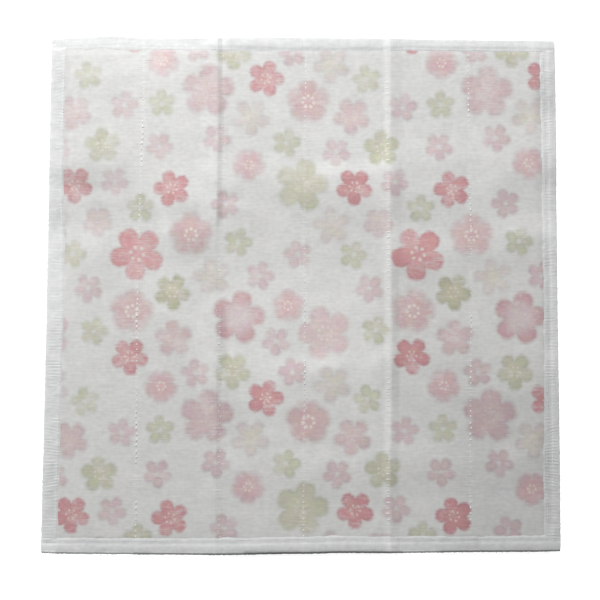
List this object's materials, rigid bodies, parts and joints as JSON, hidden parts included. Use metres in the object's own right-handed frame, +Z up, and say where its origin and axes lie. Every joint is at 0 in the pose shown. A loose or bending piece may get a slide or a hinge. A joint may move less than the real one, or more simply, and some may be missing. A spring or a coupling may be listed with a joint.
{
  "type": "gauze tenugui towel",
  "caption": "Thin, nearly square cotton gauze towel with turned hems, opened out flat with soft creases left by folding; for wiping, drying or wrapping.",
  "frame": {"origin": "centre of the cloth's outline, on the surface that it lies on", "axes": "+Z up out of that surface through the cloth's thickness, +X across its width to the right, +Y along its length towards the top edge"},
  "size_m": [0.3437, 0.3485, 0.0035],
  "materials": {
    "gauze": "matte white cotton double gauze with a pale pink and green blossom print",
    "thread": "white cotton sewing thread"
  },
  "bodies": {
    "root": {"towel": "gauze"}
  },
  "joints": []
}
